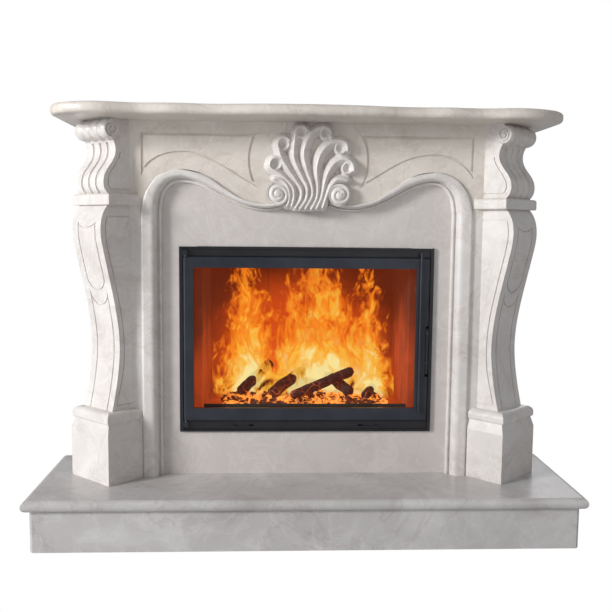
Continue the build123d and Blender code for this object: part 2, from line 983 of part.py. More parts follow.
# Door leaf with its glass opening, glass rebate, clip step and the notch for the lever
rebate_edge = 8
clip_step = 7
glass_front = 9.5
glass_thickness = 4
rebate_floor = 8
glass_mid_x = (glass_left + glass_right) / 2
glass_mid_z = (glass_low + glass_high) / 2
glass_wide = glass_right - glass_left
glass_tall = glass_high - glass_low
handle_pin_radius = 2
with BuildPart() as door_leaf:
    with BuildSketch(insert_plane.offset(-door_back)):
        band_between(door_bottom, door_top, door_half)
    extrude(amount=door_back - door_front)
    fillet(door_leaf.faces().sort_by(Axis.Y)[0].edges(), radius=door_corner - 0.01)
    with BuildSketch(insert_plane.offset(-door_front)):
        with Locations((glass_mid_x, glass_mid_z)):
            Rectangle(glass_wide, glass_tall)
    extrude(amount=-40, mode=Mode.SUBTRACT)
    with BuildSketch(insert_plane.offset(-rebate_floor)):
        with Locations((glass_mid_x, glass_mid_z)):
            Rectangle(glass_wide + 2 * rebate_edge, glass_tall + 2 * rebate_edge)
    extrude(amount=-30, mode=Mode.SUBTRACT)
    with BuildSketch(insert_plane.offset(-glass_front - glass_thickness)):
        with Locations((glass_mid_x, glass_mid_z)):
            Rectangle(
                glass_wide + 2 * (rebate_edge + clip_step),
                glass_tall + 2 * (rebate_edge + clip_step),
            )
    extrude(amount=-30, mode=Mode.SUBTRACT)
    with BuildSketch(insert_plane.offset(-door_front)):
        with Locations(((notch_inner + door_half + 1) / 2, (notch_low + notch_high) / 2)):
            Rectangle(door_half + 1 - notch_inner, notch_high - notch_low)
    extrude(amount=-40, mode=Mode.SUBTRACT)
    for level, way in lug_levels:
        with Locations((hinge_x, hinge_y, level - way * fit_gap)):
            Cylinder(hinge_pin_radius + hinge_clearance, 2 * pin_reach + 2, mode=Mode.SUBTRACT)
    with Locations((notch_inner, handle_pivot_y, handle_pivot_z)):
        Cylinder(handle_pin_radius, 12, rotation=(0, 90, 0), mode=Mode.SUBTRACT)
door_leaf.part.label = "door_frame"
export_step(door_leaf.part, "parts/door_frame.step")

# Glass pane on a flat seal, held by clips
with BuildPart() as door_glass:
    with BuildSketch(insert_plane.offset(-glass_front)):
        with Locations((glass_mid_x, glass_mid_z)):
            Rectangle(glass_wide + 2 * rebate_edge - 2, glass_tall + 2 * rebate_edge - 2)
    extrude(amount=-glass_thickness)
door_glass.part.label = "door_glass"
export_step(door_glass.part, "parts/door_glass.step")

with BuildPart() as glass_seal:
    with BuildSketch(insert_plane.offset(-rebate_floor)):
        with Locations((glass_mid_x, glass_mid_z)):
            Rectangle(glass_wide + 2 * rebate_edge - 2, glass_tall + 2 * rebate_edge - 2)
            Rectangle(glass_wide + 2, glass_tall + 2, mode=Mode.SUBTRACT)
    extrude(amount=-(glass_front - rebate_floor))
glass_seal.part.label = "glass_seal"
export_step(glass_seal.part, "parts/glass_seal.step")

clip_back = glass_front + glass_thickness
clip_thickness = 2
clip_length = 14
clip_width = 16
clip_screw_radius = 1.5
clip_reach = rebate_edge + clip_step / 2
clip_places = []
for share in (-0.35, 0.35):
    clip_places.append((glass_left - clip_reach, glass_mid_z + share * glass_tall, 0))
    clip_places.append((glass_right + clip_reach, glass_mid_z + share * glass_tall, 180))
    clip_places.append((glass_mid_x + share * glass_wide, glass_low - clip_reach, 90))
    clip_places.append((glass_mid_x + share * glass_wide, glass_high + clip_reach, -90))
with BuildPart() as glass_clips:
    for x, z, turn_deg in clip_places:
        with BuildSketch(insert_plane.offset(-clip_back)):
            with Locations(Location((x, z), turn_deg)):
                with Locations((clip_length / 2 - clip_step / 2, 0)):
                    Rectangle(clip_length, clip_width)
                Circle(clip_screw_radius, mode=Mode.SUBTRACT)
        extrude(amount=-clip_thickness)
glass_clips.part.label = "glass_clips"
export_step(glass_clips.part, "parts/glass_clips.step")

with BuildPart() as clip_screws:
    for x, z, turn_deg in clip_places:
        with BuildSketch(insert_plane.offset(-clip_back - clip_thickness)):
            with Locations((x, z)):
                Circle(2.8)
        extrude(amount=-1.8)
        with BuildSketch(insert_plane.offset(-clip_back)):
            with Locations((x, z)):
                Circle(clip_screw_radius)
        extrude(amount=-clip_thickness)
clip_screws.part.label = "clip_screws"
export_step(clip_screws.part, "parts/clip_screws.step")

# Rope seal round the back of the door
seal_inner_x = 353.5
seal_outer_x = 359
seal_outer_right = 357
with BuildPart() as door_seal:
    with BuildSketch(insert_plane.offset(-door_back)):
        with BuildLine():
            Polyline(
                (-seal_outer_x, 321),
                (seal_outer_right, 321),
                (seal_outer_right, 805),
                (-seal_outer_x, 805),
                close=True,
            )
        make_face()
        with BuildLine():
            Polyline(
                (-seal_inner_x, 327),
                (seal_outer_right - 5.5, 327),
                (seal_outer_right - 5.5, 799),
                (-seal_inner_x, 799),
                close=True,
            )
        make_face(mode=Mode.SUBTRACT)
    extrude(amount=-(rebate_front - door_back - 0.3))
door_seal.part.label = "door_seal"
export_step(door_seal.part, "parts/door_seal.step")

# Slim lever in the notch, which rocks on a cross pin
with BuildPart() as lever:
    with BuildSketch(Plane(origin=(handle_x - handle_width / 2, 0, 0), x_dir=(0, 1, 0), z_dir=(1, 0, 0))):
        with BuildLine():
            Polyline((-3, handle_low), (5, handle_low), (5, handle_high - 8), (1, handle_high))
            ThreePointArc((1, handle_high), (-5, handle_high - 6), (-9, handle_high - 18))
            Spline((-9, handle_high - 18), (-5, handle_high - 40), (-3, handle_high - 70))
            Line((-3, handle_high - 70), (-3, handle_low))
        make_face()
    extrude(amount=handle_width)
    with Locations((handle_x, -3, handle_pivot_z)):
        Cylinder(3.2, 2, rotation=(90, 0, 0), align=(Align.CENTER, Align.CENTER, Align.MIN))
    with Locations((handle_x, handle_pivot_y, handle_pivot_z)):
        Cylinder(handle_pin_radius + hinge_clearance, 40, rotation=(0, 90, 0), mode=Mode.SUBTRACT)
lever.part.label = "door_lever"
export_step(lever.part, "parts/door_lever.step")

with BuildPart() as lever_pin:
    with Locations((notch_inner - 6, handle_pivot_y, handle_pivot_z)):
        Cylinder(
            handle_pin_radius,
            door_half - notch_inner + 5.5,
            rotation=(0, 90, 0),
            align=(Align.CENTER, Align.CENTER, Align.MIN),
        )
lever_pin.part.label = "lever_pin"
export_step(lever_pin.part, "parts/lever_pin.step")

# Upright bar on the closing side of the door, on two stand-offs
bar_x = 341
bar_radius = 4
bar_y = -11
bar_low = 345
bar_high = 826
standoff_radius = 2.5
with BuildPart() as door_bar:
    with Locations((bar_x, bar_y, bar_low)):
        Cylinder(bar_radius, bar_high - bar_low, align=(Align.CENTER, Align.CENTER, Align.MIN))
    with Locations((bar_x, door_front, bar_low + 12), (bar_x, door_front, door_top - 20)):
        Cylinder(
            standoff_radius,
            door_front - bar_y,
            rotation=(90, 0, 0),
            align=(Align.CENTER, Align.CENTER, Align.MIN),
        )
door_bar.part.label = "door_bar"
export_step(door_bar.part, "parts/door_bar.step")

# Air slides behind the lower strip, each with a small tab through its slot
slide_back = strip_front + strip_thickness
for side, name in ((-1, "primary_air_slide"), (1, "secondary_air_slide")):
    with BuildPart() as slide:
        with BuildSketch(insert_plane.offset(-slide_back - 0.3)):
            with Locations((side * slide_x, slide_height)):
                Rectangle(90, 18)
        extrude(amount=-2)
        with BuildSketch(insert_plane.offset(2)):
            with Locations((side * slide_x, slide_height)):
                Rectangle(slide_tab, 5)
        extrude(amount=-(slide_back + 3.5))
    slide.part.label = name
    export_step(slide.part, "parts/" + name + ".step")

# Welded steel body behind the frame
with BuildPart() as insert_body:
    with Locations((0, body_front, body_bottom)):
        Box(
            2 * body_half,
            body_back - body_front,
            body_top - body_bottom,
            align=(Align.CENTER, Align.MIN, Align.MIN),
        )
    with Locations((0, body_front + body_wall, shelf_plate_height)):
        Box(
            2 * (body_half - body_wall),
            body_back - body_front - 2 * body_wall,
            body_top - body_wall - shelf_plate_height,
            align=(Align.CENTER, Align.MIN, Align.MIN),
            mode=Mode.SUBTRACT,
        )
    with Locations((0, body_front + body_wall, body_bottom + body_wall)):
        Box(
            2 * (body_half - body_wall),
            body_back - body_front - 2 * body_wall,
            shelf_plate_height - body_bottom - 2 * body_wall,
            align=(Align.CENTER, Align.MIN, Align.MIN),
            mode=Mode.SUBTRACT,
        )
    with Locations((0, grate_front + 10, shelf_plate_height)):
        Box(
            2 * grate_half_x - 20,
            grate_rear - grate_front - 20,
            40,
            align=(Align.CENTER, Align.MIN, Align.CENTER),
            mode=Mode.SUBTRACT,
        )
    with BuildSketch(insert_plane):
        with Locations((0, glass_mid_z)):
            Rectangle(2 * body_half - 10, glass_tall + 36)
    extrude(amount=-(body_front + body_wall + 1), mode=Mode.SUBTRACT)
    with Locations((0, collar_centre_y, body_top)):
        Box(hood_length - 40, hood_depth - 16, 40, mode=Mode.SUBTRACT)
    foot_places = [(x, y, body_bottom) for x in (-290, 290) for y in (70, 340)]
    with Locations(*foot_places):
        Cylinder(6.2, 40, mode=Mode.SUBTRACT)
insert_body.part.label = "insert_body"
export_step(insert_body.part, "parts/insert_body.step")

# Smoke hood from the body up to the flue collar
with BuildPart() as smoke_hood:
    with BuildSketch(Plane.XY.offset(body_top)):
        with Locations((0, collar_centre_y)):
            Rectangle(hood_length, hood_depth)
    with BuildSketch(Plane.XY.offset(hood_top)):
        with Locations((0, collar_centre_y)):
            Circle(collar_radius + collar_wall)
    loft()
    with BuildSketch(Plane.XY.offset(body_top)):
        with Locations((0, collar_centre_y)):
            Rectangle(hood_length - 2 * sheet, hood_depth - 2 * sheet)
    with BuildSketch(Plane.XY.offset(hood_top)):
        with Locations((0, collar_centre_y)):
            Circle(collar_radius)
    loft(mode=Mode.SUBTRACT)
smoke_hood.part.label = "smoke_hood"
export_step(smoke_hood.part, "parts/smoke_hood.step")

with BuildPart() as flue_collar:
    with BuildSketch(Plane.XY.offset(hood_top)):
        with Locations((0, collar_centre_y)):
            Circle(collar_radius + collar_wall)
            Circle(collar_radius, mode=Mode.SUBTRACT)
    extrude(amount=collar_top - hood_top)
    with BuildSketch(Plane.XY.offset(collar_top - 14)):
        with Locations((0, collar_centre_y)):
            Circle(collar_radius + collar_wall + 4)
            Circle(collar_radius, mode=Mode.SUBTRACT)
    extrude(amount=6)
flue_collar.part.label = "flue_collar"
export_step(flue_collar.part, "parts/flue_collar.step")

# Four levelling feet: pad, threaded rod and lock nut
with BuildPart() as levelling_feet:
    with Locations(*[(x, y, hearth_top) for x, y, z in foot_places]):
        Cylinder(24, 8, align=(Align.CENTER, Align.CENTER, Align.MIN))
        Cylinder(6, body_bottom - hearth_top + 16, align=(Align.CENTER, Align.CENTER, Align.MIN))
    with BuildSketch(Plane.XY.offset(body_bottom)):
        with Locations(*[(x, y) for x, y, z in foot_places]):
            RegularPolygon(10.5, 6)
    extrude(amount=-10)
levelling_feet.part.label = "levelling_feet"
export_step(levelling_feet.part, "parts/levelling_feet.step")

# Fireproof lining: two panels at the back, one ribbed panel at each side, and the floor
lining_inner_back = body_back - body_wall
back_joint = -117
with BuildPart() as lining_back:
    for low_x, high_x in (
        (-body_half + body_wall, back_joint - 0.5),
        (back_joint + 0.5, body_half - body_wall),
    ):
        with Locations(((low_x + high_x) / 2, lining_back_face, floor_height)):
            Box(
                high_x - low_x,
                lining_inner_back - lining_back_face,
                lining_top - floor_height,
                align=(Align.CENTER, Align.MIN, Align.MIN),
            )
lining_back.part.label = "lining_back"
export_step(lining_back.part, "parts/lining_back.step")

side_front = 40
for side, hand in ((-1, "left"), (1, "right")):
    with BuildPart() as lining_side:
        with Locations((side * (lining_face + body_half - body_wall) / 2, side_front, floor_height)):
            Box(
                body_half - body_wall - lining_face,
                lining_back_face - side_front,
                lining_top - floor_height,
                align=(Align.CENTER, Align.MIN, Align.MIN),
            )
        groove_middle = (floor_height + lining_top) / 2
        groove_places = [
            (side * lining_face, side_front + 60 + 52 * number, groove_middle)
            for number in range(5)
        ]
        with Locations(*groove_places):
            Cylinder(3, lining_top - floor_height + 2, mode=Mode.SUBTRACT)
    lining_side.part.label = "lining_" + hand
    export_step(lining_side.part, "parts/lining_" + hand + ".step")

with BuildPart() as floor_bricks:
    with Locations((0, side_front, shelf_plate_height)):
        Box(
            2 * (body_half - body_wall),
            lining_inner_back - side_front,
            floor_height - shelf_plate_height,
            align=(Align.CENTER, Align.MIN, Align.MIN),
        )
        Box(
            2 * grate_half_x,
            2 * (grate_front - side_front),
            60,
            align=(Align.CENTER, Align.CENTER, Align.CENTER),
            mode=Mode.SUBTRACT,
        )
    with Locations((0, side_front, floor_height)):
        Box(
            2 * grate_half_x,
            grate_front - side_front,
            floor_height - shelf_plate_height,
            align=(Align.CENTER, Align.MIN, Align.MAX),
        )
    with Locations((0, (grate_front + grate_rear) / 2, floor_height)):
        Box(2 * grate_half_x, grate_rear - grate_front, 100, mode=Mode.SUBTRACT)
floor_bricks.part.label = "floor_bricks"
export_step(floor_bricks.part, "parts/floor_bricks.step")

# Cast grate over the ash opening
grate_thickness = 14
with BuildPart() as grate:
    with BuildSketch(Plane.XY.offset(shelf_plate_height)):
        with Locations((0, (grate_front + grate_rear) / 2)):
            Rectangle(2 * grate_half_x - 2, grate_rear - grate_front - 2)
            with GridLocations(22, 1, 12, 1):
                SlotOverall(140, 9, rotation=90, mode=Mode.SUBTRACT)
    extrude(amount=grate_thickness)
grate.part.label = "grate"
export_step(grate.part, "parts/grate.step")

# Ash pan in the chamber under the grate
with BuildPart() as ash_pan:
    with BuildSketch(Plane.XY.offset(body_bottom + body_wall)):
        with Locations((0, (grate_front + grate_rear) / 2)):
            Rectangle(2 * grate_half_x + 20, grate_rear - grate_front + 40)
    extrude(amount=36, taper=-4)
    offset(amount=-1.5, openings=ash_pan.faces().sort_by(Axis.Z)[-1])
ash_pan.part.label = "ash_pan"
export_step(ash_pan.part, "parts/ash_pan.step")

# Baffle plate over the fire, and the low bar that keeps logs off the glass
with BuildPart() as baffle:
    with Locations((0, 120, lining_top)):
        Box(
            2 * (body_half - body_wall) - 2,
            lining_inner_back - 121,
            24,
            align=(Align.CENTER, Align.MIN, Align.MIN),
        )
baffle.part.label = "baffle"
export_step(baffle.part, "parts/baffle.step")

with BuildPart() as log_retainer:
    with Locations((0, side_front + 8, floor_height)):
        Box(2 * lining_face - 8, 5, 26, align=(Align.CENTER, Align.MIN, Align.MIN))
        Box(2 * lining_face - 8, 18, 4, align=(Align.CENTER, Align.MIN, Align.MIN))
log_retainer.part.label = "log_retainer"
export_step(log_retainer.part, "parts/log_retainer.step")

# Bed of embers, and the logs that lie on it
ember_top = floor_height + 22
with BuildPart() as ember_bed:
    with BuildSketch(Plane.XY.offset(floor_height)):
        with Locations((0, (side_front + lining_back_face) / 2 - 10)):
            Rectangle(2 * lining_face - 110, lining_back_face - side_front - 90)
    extrude(amount=ember_top - floor_height, taper=25)
ember_bed.part.label = "ember_bed"
export_step(ember_bed.part, "parts/ember_bed.step")

log_ends = [
    ((-170, 262, 22.1), (175, 285, 22.1), 22),
    ((195, 120, 15.1), (235, 255, 15.1), 15),
    ((-105, 130, 18.4), (15, 300, 74.5), 19),
    ((150, 150, 17.2), (60, 300, 72.7), 18),
    ((-40, 112, 15.4), (160, 205, 80.2), 16),
    ((-205, 170, 16.5), (-110, 300, 88.2), 18),
]
with BuildPart() as logs:
    for start, end, radius in log_ends:
        along = Vector(*end) - Vector(*start)
        foot = Vector(*start) + Vector(0, 0, ember_top)
        with BuildSketch(Plane(origin=foot, z_dir=along.normalized())):
            Circle(radius)
        extrude(amount=along.length)
logs.part.label = "logs"
export_step(logs.part, "parts/logs.step")
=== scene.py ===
"""Looks of the marble fireplace: stone, metal, fire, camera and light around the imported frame."""

import math
import random

import bpy
import numpy as np
from mathutils import Matrix, Vector


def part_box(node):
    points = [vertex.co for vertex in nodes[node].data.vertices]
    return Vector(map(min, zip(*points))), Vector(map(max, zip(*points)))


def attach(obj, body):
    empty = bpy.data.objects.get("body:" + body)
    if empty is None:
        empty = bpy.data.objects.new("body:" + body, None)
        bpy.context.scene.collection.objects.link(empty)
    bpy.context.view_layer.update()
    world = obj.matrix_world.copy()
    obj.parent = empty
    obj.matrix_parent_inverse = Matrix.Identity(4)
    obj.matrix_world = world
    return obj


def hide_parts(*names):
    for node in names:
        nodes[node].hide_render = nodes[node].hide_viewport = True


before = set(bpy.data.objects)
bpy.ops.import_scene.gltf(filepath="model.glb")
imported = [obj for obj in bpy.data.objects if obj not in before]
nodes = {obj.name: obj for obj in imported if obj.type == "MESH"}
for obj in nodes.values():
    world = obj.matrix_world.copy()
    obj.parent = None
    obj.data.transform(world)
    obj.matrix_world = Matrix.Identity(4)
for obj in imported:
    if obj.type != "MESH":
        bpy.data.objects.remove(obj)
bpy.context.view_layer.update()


MM = 0.001
SIDES = ((-1, "left"), (1, "right"))

# Stone tones, each as its light and its dark clouds
CREAM = ((0.76, 0.71, 0.655), (0.58, 0.52, 0.465))
PALE = ((0.74, 0.71, 0.685), (0.57, 0.53, 0.505))
GREY = ((0.59, 0.57, 0.565), (0.40, 0.38, 0.375))
SLIP_TONES = ((0.64, 0.60, 0.575), (0.54, 0.50, 0.475))
CONCRETE_TONES = ((0.5, 0.48, 0.45), (0.36, 0.35, 0.33))

# Flames, in metres: height of their foot and how far they reach above it,
# then each group's centre, half width and height as a share of that reach
FLAME_FOOT = 0.34
FLAME_REACH = 0.44
FLAME_GROUPS = (
    (-0.185, 0.085, 1.22),
    (0.05, 0.15, 1.3),
    (0.215, 0.07, 1.12),
    (0.0, 0.36, 0.38),
)

# Helpers for materials


def new_material(name):
    """New principled material; returns it with its node tree and shader."""
    material = bpy.data.materials.new(name)
    material.use_nodes = True
    tree = material.node_tree
    shader = tree.nodes["Principled BSDF"]
    return material, tree, shader


def feed(tree, socket, value):
    """Set a socket to a number or a colour, or link another node's output to it."""
    if isinstance(value, (int, float)):
        socket.default_value = value
    elif isinstance(value, tuple):
        socket.default_value = (*value, 1)
    else:
        tree.links.new(value, socket)


def place_node(tree, offset=(0, 0, 0), turn=(0, 0, 0), scale=(1, 1, 1)):
    """Object coordinates, moved, turned and stretched."""
    coords = tree.nodes.new("ShaderNodeTexCoord")
    mapping = tree.nodes.new("ShaderNodeMapping")
    mapping.inputs["Location"].default_value = offset
    mapping.inputs["Rotation"].default_value = turn
    mapping.inputs["Scale"].default_value = scale
    tree.links.new(coords.outputs["Object"], mapping.inputs["Vector"])
    return mapping.outputs["Vector"]


def noise(tree, vector, scale, detail=4.0, rough=0.5, distortion=0.0):
    node = tree.nodes.new("ShaderNodeTexNoise")
    node.inputs["Scale"].default_value = scale
    node.inputs["Detail"].default_value = detail
    node.inputs["Roughness"].default_value = rough
    node.inputs["Distortion"].default_value = distortion
    tree.links.new(vector, node.inputs["Vector"])
    return node.outputs["Fac"]


def ramp(tree, factor, stops):
    """Colour that follows a value through the given stops."""
    node = tree.nodes.new("ShaderNodeValToRGB")
    node.color_ramp.interpolation = "EASE"
    elements = node.color_ramp.elements
    while len(elements) < len(stops):
        elements.new(0.5)
    for element, (place, colour) in zip(elements, stops):
        element.position = place
        element.color = (*colour, 1)
    tree.links.new(factor, node.inputs["Fac"])
    return node.outputs["Color"]


def maths(tree, operation, first, second=None, clamp=False):
    node = tree.nodes.new("ShaderNodeMath")
    node.operation = operation
    node.use_clamp = clamp
    feed(tree, node.inputs[0], first)
    if second is not None:
        feed(tree, node.inputs[1], second)
    return node.outputs[0]


def plus(tree, first, second, clamp=False):
    return maths(tree, "ADD", first, second, clamp)


def minus(tree, first, second, clamp=False):
    return maths(tree, "SUBTRACT", first, second, clamp)


def times(tree, first, second, clamp=False):
    return maths(tree, "MULTIPLY", first, second, clamp)


def mix(tree, factor, first, second, blend="MIX"):
    node = tree.nodes.new("ShaderNodeMix")
    node.data_type = "RGBA"
    node.blend_type = blend
    feed(tree, node.inputs[0], factor)
    feed(tree, node.inputs[6], first)
    feed(tree, node.inputs[7], second)
    return node.outputs[2]


def bump(tree, shader, height, strength, distance):
    node = tree.nodes.new("ShaderNodeBump")
    node.inputs["Strength"].default_value = strength
    node.inputs["Distance"].default_value = distance
    tree.links.new(height, node.inputs["Height"])
    tree.links.new(node.outputs["Normal"], shader.inputs["Normal"])


def thin_line(tree, value, level, sharpness, strength):
    """Narrow band where a value crosses a level."""
    away = maths(tree, "ABSOLUTE", minus(tree, value, level))
    band = minus(tree, 1.0, times(tree, away, sharpness), clamp=True)
    return times(tree, band, strength)


def seen_by_camera(tree, seen, other):
    """Shader that the camera sees as one thing and every other ray as another."""
    path = tree.nodes.new("ShaderNodeLightPath")
    blend = tree.nodes.new("ShaderNodeMixShader")
    tree.links.new(path.outputs["Is Camera Ray"], blend.inputs[0])
    tree.links.new(other, blend.inputs[1])
    tree.links.new(seen, blend.inputs[2])
    return blend.outputs[0]


def scaled(colour, share):
    return tuple(channel * share for channel in colour)


# Materials


def marble(name, tones, offset, turn=(0.3, 0.5, 0.2), gloss=0.24, vein=0.25):
    """Polished stone: slow clouds of two tones, thin wandering veins and a fine grain."""
    material, tree, shader = new_material(name)
    light, dark = tones
    vector = place_node(tree, offset, turn)
    clouds = noise(tree, vector, 4.2, 7, 0.62, 0.9)
    middle = tuple((a + b) / 2 for a, b in zip(light, dark))
    colour = ramp(tree, clouds, [(0.28, dark), (0.48, middle), (0.7, light)])

    wander = noise(tree, vector, 2.6, 9, 0.6, 1.6)
    vein_line = thin_line(tree, wander, 0.5, 42, vein)
    vein_tone = tuple(c * t for c, t in zip(dark, (0.72, 0.66, 0.6)))
    colour = mix(tree, vein_line, colour, vein_tone)

    pale = noise(tree, vector, 9, 6, 0.6, 1.2)
    pale_line = thin_line(tree, pale, 0.52, 30, 0.22)
    pale_tone = tuple(min(1, channel * 1.25) for channel in light)
    colour = mix(tree, pale_line, colour, pale_tone)

    grain = noise(tree, vector, 260, 3, 0.6)
    grain_tone = ramp(tree, grain, [(0.3, dark), (0.7, light)])
    colour = mix(tree, 0.12, colour, grain_tone, "OVERLAY")
    tree.links.new(colour, shader.inputs["Base Color"])
    rough = plus(tree, times(tree, clouds, 0.14), gloss)
    tree.links.new(rough, shader.inputs["Roughness"])
    shader.inputs["Specular IOR Level"].default_value = 0.5
    bump(tree, shader, grain, 0.06, 0.0004)
    return material


def metal(name, colour, rough, metallic, depth=0.1):
    """Painted or bare metal: a fine grain, slightly uneven gloss and faint handling marks."""
    material, tree, shader = new_material(name)
    vector = place_node(tree)
    fine = noise(tree, vector, 320, 4, 0.6)
    patches = noise(tree, vector, 7, 5, 0.6, 0.4)
    lighter = tuple(min(1, channel * 1.3 + 0.004) for channel in colour)
    darker = scaled(colour, 0.85)
    tone = ramp(tree, patches, [(0.32, darker), (0.68, lighter)])
    fine_tone = ramp(tree, fine, [(0.35, darker), (0.65, lighter)])
    tree.links.new(mix(tree, 0.1, tone, fine_tone), shader.inputs["Base Color"])
    spread = plus(tree, times(tree, patches, 0.2), rough - 0.1)
    tree.links.new(spread, shader.inputs["Roughness"])
    shader.inputs["Metallic"].default_value = metallic
    bump(tree, shader, fine, depth, 0.0004)
    return material


def firelit_stone(name, low, high, heat):
    """Fireproof lining with painted firelight in its colour and its emission (strength heat): brightest
    low in the middle near the fire, falling off unevenly to painted shade towards the top.
    """
    material, tree, shader = new_material(name)
    # Squashed distance from the fire's centre sets how far the painted firelight has fallen off
    coords = tree.nodes.new("ShaderNodeTexCoord")
    centre = tree.nodes.new("ShaderNodeVectorMath")
    centre.operation = "SUBTRACT"
    centre.inputs[1].default_value = (0.0, 0.2, 0.44)
    tree.links.new(coords.outputs["Object"], centre.inputs[0])
    squash = tree.nodes.new("ShaderNodeVectorMath")
    squash.operation = "MULTIPLY"
    squash.inputs[1].default_value = (1.9, 1.2, 2.3)
    tree.links.new(centre.outputs[0], squash.inputs[0])
    length = tree.nodes.new("ShaderNodeVectorMath")
    length.operation = "LENGTH"
    tree.links.new(squash.outputs[0], length.inputs[0])

    vector = place_node(tree)
    # Noise patches make the painted firelight fall off unevenly into painted shade
    falloff_noise = noise(tree, vector, 7, 6, 0.6, 0.6)
    reach = plus(tree, length.outputs["Value"], times(tree, falloff_noise, 0.35))
    # Painted firelight: bright near the fire, orange further out, painted shade far from it
    painted_glow_tone = ramp(tree, reach, [(0.15, high), (0.6, low), (1.3, scaled(low, 0.22))])
    grain = noise(tree, vector, 160, 5, 0.6)
    grain_tone = ramp(tree, grain, [(0.3, low), (0.7, high)])
    tone = mix(tree, 0.3, painted_glow_tone, grain_tone, "MULTIPLY")
    # A quarter of the painted firelight goes into the base colour. The emission carries all of it, so
    # the lining glows though it is no lamp.
    tree.links.new(mix(tree, 0.75, tone, (0.03, 0.012, 0.006)), shader.inputs["Base Color"])
    tree.links.new(tone, shader.inputs["Emission Color"])
    shader.inputs["Emission Strength"].default_value = heat
    shader.inputs["Roughness"].default_value = 0.9
    bump(tree, shader, grain, 0.5, 0.0012)
    return material


def embers(name, crust, glow, heat, scale, sharp, cold):
    """Charred surface whose cracks and hot patches glow."""
    material, tree, shader = new_material(name)
    vector = place_node(tree)
    cells = tree.nodes.new("ShaderNodeTexVoronoi")
    cells.feature = "DISTANCE_TO_EDGE"
    cells.inputs["Scale"].default_value = scale
    tree.links.new(vector, cells.inputs["Vector"])
    patches = noise(tree, vector, 13, 5, 0.6, 0.8)
    crack = minus(tree, 1.0, times(tree, cells.outputs["Distance"], sharp), clamp=True)
    hot_cracks = times(tree, crack, times(tree, patches, 1.5))
    hot_patches = times(tree, minus(tree, patches, cold), 2.2)
    hot = plus(tree, hot_cracks, hot_patches, clamp=True)

    grain = noise(tree, vector, 90, 6, 0.7)
    ash = tuple(channel * 4 + 0.02 for channel in crust)
    tree.links.new(ramp(tree, grain, [(0.35, crust), (0.75, ash)]), shader.inputs["Base Color"])
    dull = (glow[0] * 0.05, glow[1] * 0.02, 0)
    fire = ramp(tree, hot, [(0.08, dull), (0.35, scaled(glow, 0.5)), (0.95, glow)])
    tree.links.new(fire, shader.inputs["Emission Color"])
    shader.inputs["Emission Strength"].default_value = heat
    shader.inputs["Roughness"].default_value = 0.95
    bump(tree, shader, grain, 0.8, 0.003)
    return material


def flame_groups(tree, across):
    """Height that the flames reach at each place: a hill for each group."""
    reach = None
    for centre, width, tall in FLAME_GROUPS:
        offset = maths(tree, "DIVIDE", minus(tree, across, centre), width)
        square = times(tree, offset, offset)
        hill = times(tree, maths(tree, "EXPONENT", times(tree, square, -1.0)), tall)
        reach = hill if reach is None else maths(tree, "MAXIMUM", reach, hill)
    return reach


def flame_material():
    """Flames: torn upright licks in three groups, thinning out towards their tips."""
    material, tree, shader = new_material("flame")
    coords = tree.nodes.new("ShaderNodeTexCoord")
    parts = tree.nodes.new("ShaderNodeSeparateXYZ")
    tree.links.new(coords.outputs["Object"], parts.inputs[0])
    height = maths(tree, "DIVIDE", minus(tree, parts.outputs["Z"], FLAME_FOOT), FLAME_REACH)
    groups = flame_groups(tree, parts.outputs["X"])

    # Three sizes of noise, stretched upwards
    vector = place_node(tree, scale=(1.0, 3.0, 0.36))
    sway = times(tree, minus(tree, noise(tree, vector, 9, 2, 0.5, 0.8), 0.5), 1.5)
    licks = times(tree, minus(tree, noise(tree, vector, 19, 5, 0.56, 0.9), 0.5), 2.6)
    threads = times(tree, minus(tree, noise(tree, vector, 52, 3, 0.5, 0.6), 0.5), 0.9)
    level = plus(tree, minus(tree, groups, height), sway)
    body = plus(tree, plus(tree, times(tree, level, 0.8), licks), threads)

    # See-through where the body is thin and at the foot
    thick = times(tree, minus(tree, body, 0.18), 2.8, clamp=True)
    foot = times(tree, plus(tree, height, 0.02), 12, clamp=True)
    tree.links.new(times(tree, times(tree, thick, foot), 0.8), shader.inputs["Alpha"])

    # Hottest in the body and low in each group
    core = times(tree, minus(tree, 0.42, height), 0.9, clamp=True)
    heat = plus(tree, times(tree, body, 0.72), times(tree, core, groups), clamp=True)
    red = (0.60, 0.05, 0.002)
    orange = (0.98, 0.22, 0.008)
    amber = (1.0, 0.48, 0.04)
    yellow = (1.0, 0.82, 0.34)
    colour = ramp(tree, heat, [(0.1, red), (0.32, orange), (0.6, amber), (0.92, yellow)])
    tree.links.new(colour, shader.inputs["Emission Color"])
    shader.inputs["Emission Strength"].default_value = 1.1
    shader.inputs["Base Color"].default_value = (0.01, 0.003, 0.001, 1)
    shader.inputs["Roughness"].default_value = 1.0
    shader.inputs["Specular IOR Level"].default_value = 0.0
    return material


def glass_material():
    """Clear pane with a faint film of soot."""
    material, tree, shader = new_material("clear_glass")
    vector = place_node(tree)
    smoke = noise(tree, vector, 5, 5, 0.6, 0.5)
    tone = ramp(tree, smoke, [(0.3, (0.020, 0.016, 0.014)), (0.75, (0.05, 0.04, 0.035))])
    film = times(tree, smoke, 0.06)
    tree.links.new(tone, shader.inputs["Base Color"])
    tree.links.new(plus(tree, film, 0.03), shader.inputs["Roughness"])
    tree.links.new(plus(tree, film, 0.05), shader.inputs["Alpha"])
    return material


def rope_material():
    """Dark braided sealing rope."""
    material, tree, shader = new_material("rope")
    vector = place_node(tree, turn=(0.6, 0.5, 0.7))
    weave = tree.nodes.new("ShaderNodeTexWave")
    weave.inputs["Scale"].default_value = 120
    weave.inputs["Distortion"].default_value = 1.5
    tree.links.new(vector, weave.inputs["Vector"])
    tone = ramp(tree, weave.outputs["Fac"], [(0.2, (0.03, 0.03, 0.03)), (0.8, (0.13, 0.125, 0.12))])
    tree.links.new(tone, shader.inputs["Base Color"])
    shader.inputs["Roughness"].default_value = 0.95
    bump(tree, shader, weave.outputs["Fac"], 0.6, 0.001)
    return material


